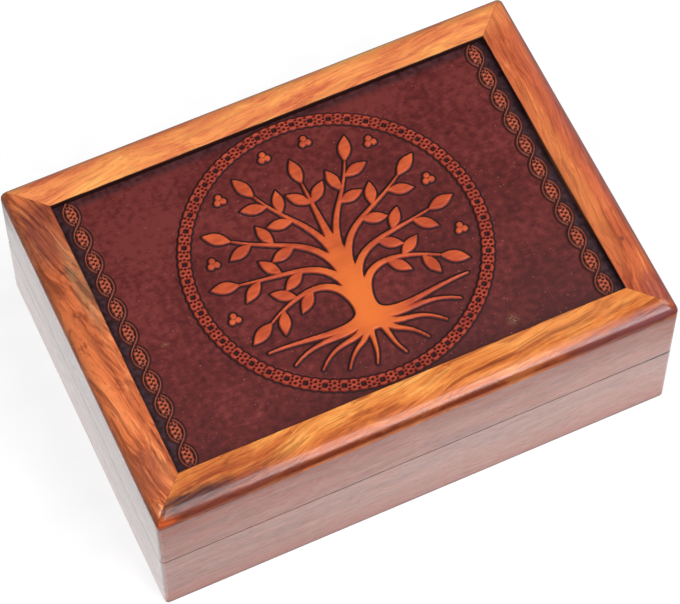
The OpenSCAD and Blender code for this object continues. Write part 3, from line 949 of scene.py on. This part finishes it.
def rosewood(name, turn, shift, shades, share, polish, stains=(), dirt_and_shade_lines=()):
    finish, net = new_finish(name)
    coat, coat_rough, refraction, gloss = polish
    place = net.place()
    laid = net.put("Mapping", {
        "Vector": place, "Location": shift, "Rotation": (0, 0, math.radians(turn))}).outputs[0]

    def wander(vector, scale, amount):
        drift = net.noise(vector, scale, 2, output="Color")
        drift = net.vector("SUBTRACT", drift, (0.5, 0.5, 0.5))
        return net.vector("ADD", vector, net.vector("MULTIPLY", drift, (0, amount * mm, amount * mm)))

    bent = wander(wander(laid, 15, 18), 90, 1.6)

    def grain(scale, stretch, detail, roughness=0.55):
        return net.noise(net.stretched(bent, stretch), scale, detail, roughness)

    bands = grain(140, 0.07, 4)
    clouds = grain(230, 0.28, 3)
    lines = grain(950, 0.022, 3, 0.6)
    fibres = grain(2300, 0.03, 2)
    pores = grain(2100, 0.09, 1)
    veins = grain(560, 0.02, 4, 0.65)
    dashes = grain(1500, 0.16, 1)
    from_ring = net.math("PINGPONG", net.times(grain(95, 0.05, 1), growth_rings), 0.5)
    tone = net.mixed((bands, 0.42), (clouds, 0.25), (lines, 0.2), (fibres, 0.13))
    wood = net.shades(tone, shades)

    parts = net.parts(place)
    line_patches = net.noise(place, 110, 3)
    # Lines along edges: dirt in the seam, a redder foot of the base, painted shade at the others.
    for axis_number, middle, half, colour, strength in dirt_and_shade_lines:
        off = net.math("ABSOLUTE", net.math("SUBTRACT", parts[axis_number], middle * mm))
        close = net.rescale(off, half * mm, 0.3 * half * mm)
        patch_strength = net.rescale(line_patches, 0.38, 0.58, 0.6 * strength, strength)
        wood = net.blend(net.times(close, patch_strength), wood, colour)
    patchy = net.rescale(lines, 0.38, 0.62, 1.15, 0.65)
    for middle, half, colour, strength in stains:
        far = net.how_far(wander(place, 220, min(5, *half)), middle, half)
        wood = net.blend(net.times(net.rescale(far, 1, 0.45, 0, strength), patchy), wood, colour)
    ring_line = net.times(
        net.rescale(from_ring, 0.14, 0.02, 0, 0.9 * share), net.rescale(clouds, 0.4, 0.6, 0.2, 1))
    pitted = net.rescale(pores, 0.6, 0.72)
    marks = net.math("MAXIMUM", net.rescale(veins, 0.53, 0.62, 0, share), ring_line)
    marks = net.math("MAXIMUM", marks, net.times(pitted, 0.4))
    wood = net.blend(marks, wood, dark_mark, "MULTIPLY")

    level = net.bump(net.noise(net.stretched(laid, 0.3), 75, 2), 1, 0.4)
    rough = net.bump(net.math("SUBTRACT", net.times(fibres, 0.4), pitted), 0.3, 0.05, Normal=level)
    filled = net.times(net.rescale(fibres, 0.35, 0.65, 0.8, 1.1), coat)
    filled = net.times(filled, net.rescale(dashes, 0.52, 0.64, 1, 0.72))
    net.surface({
        "Base Color": wood, "Roughness": net.rescale(lines, 0.3, 0.7, 0.42, 0.3), "Normal": rough,
        "Specular IOR Level": gloss, "Coat Weight": filled, "Coat Roughness": coat_rough,
        "Coat IOR": refraction, "Coat Normal": level})
    return finish


print("rosewood ready")

# %% [markdown]
# Each rail is cut from another plank: the tilt of its grain, its shades, its share of dark streaks and
# its stains. The front one is golden with dark heartwood at both ends, the left one is the most
# streaked, the right one is redder towards its outer edge and has a small knot, and the back one is an
# even orange. A darker pinkish rim along the right one's outer edge is painted shade and reflection.
# The sides are a redder wood, made darker than the top as painted shade, the left side darkest. Dirt
# has settled in the seam, and the painted shadow of a gap darkens its right end at the front. Painted
# shade darkens the rounded outer edges of the lid, the rounding under their highlight, a band on the
# sides below it, the lip of the panel and the very foot of the base, and the base turns redder towards
# its foot. Just under the rounded edge the polish is worn away, so the rails of the lid get a duller
# finish there, and the rims that meet when the lid is shut are clean wood.

# %% Shades and planks
golden = [(0.42, (0.4, 0.09, 0.017)), (0.47, (0.64, 0.172, 0.035)),
          (0.52, (0.77, 0.255, 0.053)), (0.58, (0.9, 0.38, 0.092))]
orange = [(0.42, (0.62, 0.14, 0.052)), (0.48, (0.82, 0.255, 0.082)),
          (0.53, (0.89, 0.33, 0.092)), (0.58, (0.96, 0.44, 0.12))]
red = [(0.42, (0.34, 0.06, 0.021)), (0.47, (0.52, 0.112, 0.037)),
       (0.53, (0.66, 0.158, 0.05)), (0.58, (0.84, 0.27, 0.086))]
brown = [(0.42, (0.2, 0.04, 0.015)), (0.47, (0.49, 0.11, 0.036)),
         (0.52, (0.69, 0.174, 0.054)), (0.57, (0.86, 0.3, 0.105))]
# The sides are darker copies of the wood as painted shade, the left side darkest.
shaded_lid_side = [(0.41, (0.25, 0.048, 0.02)), (0.5, (0.32, 0.068, 0.027)), (0.59, (0.39, 0.092, 0.039))]
shaded_base_side = [(0.41, (0.25, 0.056, 0.024)), (0.5, (0.32, 0.078, 0.033)), (0.59, (0.38, 0.1, 0.045))]
shaded_left_side = [(0.42, (0.14, 0.03, 0.012)), (0.5, (0.22, 0.052, 0.022)), (0.58, (0.31, 0.085, 0.038))]
rim_shades = [(0.4, (0.27, 0.066, 0.023)), (0.5, (0.4, 0.108, 0.037)), (0.6, (0.52, 0.16, 0.058))]
planks = {
    "front": (-9, golden, 0.6, [
        ((-64, -58, 61), (26, 9, 6), (0.42, 0.084, 0.024), 0.9),
        ((-68, -62.6, 60), (34, 5, 9), (0.18, 0.036, 0.018), 0.95),
        ((-75, -60.2, 61.5), (18, 3.4, 4), (0.075, 0.027, 0.026), 1),
        ((-87.5, -64, 59), (8, 2.5, 3), (0.56, 0.095, 0.018), 1),
        ((52, -54.5, 62), (30, 4.5, 5), (0.84, 0.32, 0.09), 0.45),
        ((70, -64, 58.8), (26, 4.2, 5), (0.17, 0.04, 0.036), 0.9),
        ((79, -62.5, 60), (13, 3.4, 4), (0.2, 0.05, 0.052), 0.9)]),
    "back": (-4, orange, 0.25, [
        ((-30, 60, 62), (24, 7, 5), (0.66, 0.165, 0.062), 0.5),
        ((50, 58, 62), (18, 6, 5), (0.68, 0.175, 0.06), 0.45)]),
    "left": (-12, brown, 0.75, [
        ((-86, -14, 62), (5.5, 50, 5), (0.8, 0.205, 0.06), 0.75),
        ((-78.5, 22, 62), (3.4, 24, 4), (0.36, 0.19, 0.09), 0.65),
        ((-83, 43, 62), (8, 18, 4), (0.23, 0.052, 0.03), 0.85),
        ((-80, 58, 62), (9, 7, 5), (0.7, 0.19, 0.055), 0.6),
        ((-84, -46, 62), (6, 11, 4), (0.32, 0.085, 0.043), 0.6)]),
    "right": (4, red, 0.5, [
        ((79, -8, 62), (4, 44, 5), (0.8, 0.27, 0.075), 0.5),
        ((80, 57, 62), (9, 8, 5), (0.82, 0.27, 0.08), 0.6),
        ((85.5, 8, 62), (4.5, 60, 5), (0.58, 0.125, 0.062), 0.6),
        # a darker pinkish rim on the outer edge: painted shade and reflection on its rounding
        ((88.5, 5, 61), (4, 60, 5), (0.32, 0.085, 0.07), 0.8),
        ((83, -35, 62.5), (0.9, 1.1, 2), (0.16, 0.05, 0.03), 1),
        ((85, -55, 62), (5, 10, 4), (0.28, 0.058, 0.05), 0.75)]),
}
top_polish, edge_polish = (0.9, 0.16, 1.42, 0.2), (0.1, 0.3, 1.4, 0.12)
lid_polish, base_polish = (0.95, 0.28, 1.72, 0.48), (1, 0.28, 1.82, 0.8)
left_polish, rim_polish = (1, 0.28, 2.4, 1), (0.3, 0.3, 1.45, 0.3)
# Painted shade along the lip of the panel; the seam colour is dirt in the seam and painted shade at the
# very foot of the base.
lip_shade, seam_dirt_and_foot_shade = (0.02, 0.006, 0.005), (0.024, 0.011, 0.008)
# Painted shade on the rounded outer edges of the lid, on the rounding under their highlight and on the
# sides just below it.
round_edge_shade, under_highlight_shade, below_edge_shade = (0.5, 0.115, 0.026), (0.16, 0.024, 0.004), (0.24, 0.034, 0.01)
foot_red = (0.44, 0.08, 0.036)
round_edge_shade_reach = {"front": (5.5, 0.9), "back": (2.6, 0.6), "left": (3.4, 0.7), "right": (3.4, 0.7)}
# Painted shadow of a gap at the right end of the front seam.
seam_gap_shadow = [((87, -64, 31.45), (14, 2, 0.75), (0.01, 0.005, 0.004), 1.5)]
print("planks:", list(planks))

# %% Lay the finish on the rails
for number, ((part, side), rail) in enumerate(rails.items(), 1):
    out_x, out_y = sides[side]
    turn, level_axis = (90, 0) if out_x else (0, 1)
    shift = (0.37 * number, 0.11 * number, 0.23 * number)
    tilt, shades, share, stains = planks[side]
    side_shades = shaded_left_side if side == "left" else shaded_lid_side if part == "lid" else shaded_base_side
    side_polish = left_polish if side == "left" else lid_polish
    # Lines on the sides: dirt in the seam, a redder foot, painted shade at the very bottom of the base
    # and below the rounded edge of the lid.
    side_dirt_and_shade = [(2, seams[part] / mm, 0.4, seam_dirt_and_foot_shade, 0.7)]
    if part == "base":
        side_dirt_and_shade += [(2, 0, 16, foot_red, 0.5), (2, 0, 1.2, seam_dirt_and_foot_shade, 0.9)]
        side_polish = base_polish if side == "front" else side_polish
    elif side != "left":
        # painted shade on the side of the lid just below the rounded edge
        side_dirt_and_shade.append((2, lid_top / mm - 6, 4, below_edge_shade, 0.85))
    finishes = [
        rosewood(f"{part}_{side}_side_wood", turn, shift, side_shades, 0.6 * share, side_polish,
                 seam_gap_shadow if side == "front" else (), side_dirt_and_shade),
        rosewood(f"{part}_{side}_rim_wood", turn, shift, rim_shades, 0.5 * share, rim_polish)]
    if part == "lid":
        lip = (out_x * inner_x + out_y * inner_y) / mm
        outer = (out_x * half_length + out_y * half_depth) / mm
        reach, strength = round_edge_shade_reach[side]
        # Painted shade on the rounded outer edge, on the rounding under its highlight and along the lip
        # of the panel.
        dirt_and_shade_lines = [(level_axis, outer, reach, round_edge_shade, strength),
                 (2, lid_top / mm - 3.3, 2.1, under_highlight_shade, 0.5 if side == "left" else 1.1),
                 (level_axis, lip, 0.45, lip_shade, 1.7)]
        for place, polish in (("top", top_polish), ("edge", edge_polish)):
            finishes.append(rosewood(
                f"lid_{side}_{place}_wood", turn + tilt, shift, shades, share, polish, stains, dirt_and_shade_lines))
    for finish in finishes:
        rail.data.materials.append(finish)
    for face in rail.data.polygons:
        if near(face.center.z, seams[part]):
            face.material_index = 1
        elif part == "lid" and face.normal.z > 0.5:
            face.material_index = 2
        elif part == "lid" and face.center.z > worn_to:
            face.material_index = 2 if side == "left" else 3
print("rail finishes on", len(rails), "rails")

# %% [markdown]
# ## Finishes of the carving
# The sunk ground is stained a dark maroon and is a little rough, with darker strips outside the
# braids and along the back, and it is lighter to the left and towards the back as painted light. On
# the raised parts the first surface of the board is left, bright and orange, with a darker, redder
# steep edge and a dark outline round its foot, both burn marks with painted shade. The depth kept on
# the points says which of these it is, so one finish covers a whole relief.

# %% Finish of the ground
strip_from = braid_middle * mm
back_strip_from = 48.3 * mm
scuffs = [((39.7, -45.7, 60.3), (2.6, 2.6, 2)), ((-62.3, -8.4, 60.3), (1.8, 0.9, 2))]


def ground_colour(net, place):
    cloud = net.noise(place, 55, 4)
    mottle = net.noise(place, 430, 3)
    scan = net.noise(net.stretched(place, 0.14), 2600, 2)
    parts = net.parts(place)
    tone = net.mixed((cloud, 0.34), (mottle, 0.44), (scan, 0.22))
    # Painted light: the ground is lighter to the left and towards the back.
    tone = net.math("ADD", tone, net.rescale(parts[0], -70 * mm, 70 * mm, 0.026, -0.048))
    tone = net.math("ADD", tone, net.rescale(parts[1], -50 * mm, 50 * mm, -0.055, 0.085))
    stain = net.shades(tone, [
        (0.38, (0.068, 0.01, 0.01)), (0.5, (0.114, 0.0165, 0.0155)), (0.62, (0.178, 0.031, 0.027))])
    speck = net.noise(place, 1500, 0)
    stain = net.blend(net.rescale(speck, 0.82, 0.88, 0, 0.6), stain, (0.42, 0.16, 0.12))
    chipped = net.rescale(net.noise(place, 4200, 1), 0.5, 0.7, 0, 0.9)
    for middle, half in scuffs:
        close = net.rescale(net.how_far(place, middle, half), 1, 0.2)
        stain = net.blend(net.times(close, chipped), stain, (0.52, 0.27, 0.15))
    # Darker strips outside the braids and along the back.
    ragged = net.rescale(mottle, 0, 1, -0.8 * mm, 0.8 * mm)
    from_middle = net.math("ADD", net.math("ABSOLUTE", parts[0]), ragged)
    to_back = net.math("ADD", parts[1], ragged)
    side_strips = net.rescale(from_middle, strip_from - 0.4 * mm, strip_from + 0.8 * mm, 0, 0.92)
    rear_strip = net.rescale(to_back, back_strip_from - 1.2 * mm, back_strip_from + 1.2 * mm, 0, 0.7)
    strip_dark = net.shades(mottle, [(0.35, (0.015, 0.006, 0.007)), (0.65, (0.054, 0.028, 0.038))])
    return net.blend(net.math("MAXIMUM", side_strips, rear_strip), stain, strip_dark), scan


stained_ground, net = new_finish("stained_ground")
colour, scan = ground_colour(net, net.place())
net.surface({
    "Base Color": colour, "Roughness": 0.55, "Specular IOR Level": 0.2,
    "Normal": net.bump(scan, 0.3, 0.05)})
board.data.materials.append(stained_ground)
print("ground stained")

# %% Finish of the raised parts
heart_middle, heart_half, heart_core = (0, -20, 0), (14, 28, 1e9), 3 / 14


def raised_wood(name, bright, deep, burnt_shaded_wall, burnt_shaded_outline, knot=None, heart=None):
    finish, net = new_finish(name)
    place = net.place()
    colour = ground_colour(net, place)[0]
    depth = net.noted("depth")
    grain = net.noise(net.stretched(place, 0.1), 620, 4)
    tone = net.mixed((net.noise(place, 130, 2), 0.6), (grain, 0.4))
    wood = net.blend(net.rescale(tone, 0.4, 0.6), deep, bright)
    if knot:
        wood = net.blend(net.noted("knot"), wood, knot)
    if heart:
        far = net.how_far(place, heart_middle, heart_half)
        wood = net.blend(net.rescale(far, 1, heart_core, 0, 0.8), wood, heart)
    # The dark outline round the foot and the darker, redder steep wall are burn marks with painted shade.
    for low, high, layer in ((-skirt, -0.5, burnt_shaded_outline), (-0.05, 0.08, burnt_shaded_wall), (0.08, 0.34, wood)):
        colour = net.blend(net.rescale(depth, low, high), colour, layer)
    net.surface({
        "Base Color": colour, "Roughness": 0.45, "Specular IOR Level": 0.3,
        "Normal": net.bump(grain, 0.25, 0.05)})
    return finish


# Colours of the dark outline: burn marks with painted shade.
burnt_shaded_foot, braid_burnt_shaded_foot = (0.02, 0.004, 0.005), (0.04, 0.005, 0.004)
tree_wood = raised_wood(
    "tree_wood", (0.6, 0.102, 0.028), (0.42, 0.058, 0.019), (0.28, 0.038, 0.022), burnt_shaded_foot,
    heart=(0.8, 0.185, 0.03))
ring_wood = raised_wood(
    "ring_wood", (0.42, 0.055, 0.024), (0.29, 0.032, 0.016), (0.24, 0.032, 0.02), burnt_shaded_foot)
braid_wood = raised_wood(
    "braid_wood", (0.38, 0.12, 0.076), (0.3, 0.086, 0.053), (0.28, 0.08, 0.054), braid_burnt_shaded_foot,
    knot=(0.48, 0.086, 0.032))
for relief, wood in zip(reliefs, (tree_wood, ring_wood, braid_wood, braid_wood)):
    relief.data.materials.append(wood)
print("carving finishes ready")

# %% [markdown]
# ## Velvet, brass, steel and plain wood
# Velvet is dark where one looks straight into the pile and bright along its edge, which is what a
# sheen layer does. The hinges are brass with a little tarnish, their pins and the brads are drawn
# steel, and the bottom is a plain birch board.

# %% Finish of the liners
velvet, net = new_finish("burgundy_velvet")
place = net.place()
pile = net.noise(place, 2600, 3)
brushed = net.noise(place, 60, 3)
colour = net.shades(
    net.mixed((pile, 0.5), (brushed, 0.5)), [(0.35, (0.045, 0.004, 0.01)), (0.65, (0.14, 0.012, 0.026))])
net.surface({
    "Base Color": colour, "Roughness": 0.85, "Normal": net.bump(pile, 0.6, 0.15),
    "Specular IOR Level": 0.2, "Sheen Weight": 0.7, "Sheen Roughness": 0.35,
    "Sheen Tint": (0.75, 0.25, 0.28, 1)})
for card in liners.values():
    card.data.materials.append(velvet)
print("velvet on", len(liners), "cards")


# %% Finishes of the hinges, the brads and the bottom
def worn_metal(name, clean, tarnish, dull):
    finish, net = new_finish(name)
    place = net.place()
    scratch = net.noise(net.stretched(place, 0.05), 5000, 2)
    stain = net.noise(place, 350, 4)
    net.surface({
        "Base Color": net.blend(net.rescale(stain, 0.45, 0.7), clean, tarnish),
        "Roughness": net.rescale(stain, 0.3, 0.7, dull, dull + 0.2), "Metallic": 1,
        "Normal": net.bump(scratch, 0.15, 0.02)})
    return finish


def cover(finish, *nodes):
    for node in nodes:
        solids[node].data.materials.clear()
        solids[node].data.materials.append(finish)


brass = worn_metal("satin_brass", (0.78, 0.56, 0.24), (0.45, 0.28, 0.11), 0.26)
steel = worn_metal("drawn_steel", (0.62, 0.62, 0.6), (0.4, 0.37, 0.34), 0.3)
pale = [(0.35, (0.3, 0.16, 0.08)), (0.5, (0.48, 0.29, 0.15)), (0.65, (0.6, 0.39, 0.22))]
dark = [(0.35, (0.1, 0.04, 0.02)), (0.5, (0.22, 0.09, 0.04)), (0.65, (0.32, 0.15, 0.07))]
cover(brass, *(f"{hand}_hinge_{part}_leaf" for hand in hands for part in ("base", "lid")))
cover(brass, "hinge_base_screws", "hinge_lid_screws")
cover(steel, "bottom_panel_brads", *(f"{hand}_hinge_pin" for hand in hands))
cover(
    rosewood("bottom_wood", 0, (1.3, 0.7, 0.2), pale, 0.2, (0.2, 0.5, 1.5, 0.3)),
    "base_bottom_panel")
cover(
    rosewood("spline_wood", 0, (2.3, 1.7, 0.9), dark, 0.3, (0.3, 0.5, 1.5, 0.3)),
    "base_corner_splines", "lid_corner_splines")
print("metal and plain wood ready")

# %% [markdown]
# ## Put everything on its body
# Each new piece rides on the moving part that carries it, and the solid that it stands for is hidden.
# Then the size of the dressed box is written down next to the size of the solids.

# %% Ride and replace
for (part, side), rail in rails.items():
    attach(rail, part)
    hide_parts("%s_%s_rail" % (part, side))
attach(board, "lid")
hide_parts("lid_panel")
for relief in reliefs:
    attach(relief, "lid")
for node, card in liners.items():
    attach(card, "lid" if node.startswith("lid") else "base")
    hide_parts(node)
dressed_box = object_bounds()
for name, corners in (("solids", solid_box), ("dressed", dressed_box)):
    print(name, [[round(c / mm, 2) for c in corner] for corner in corners])
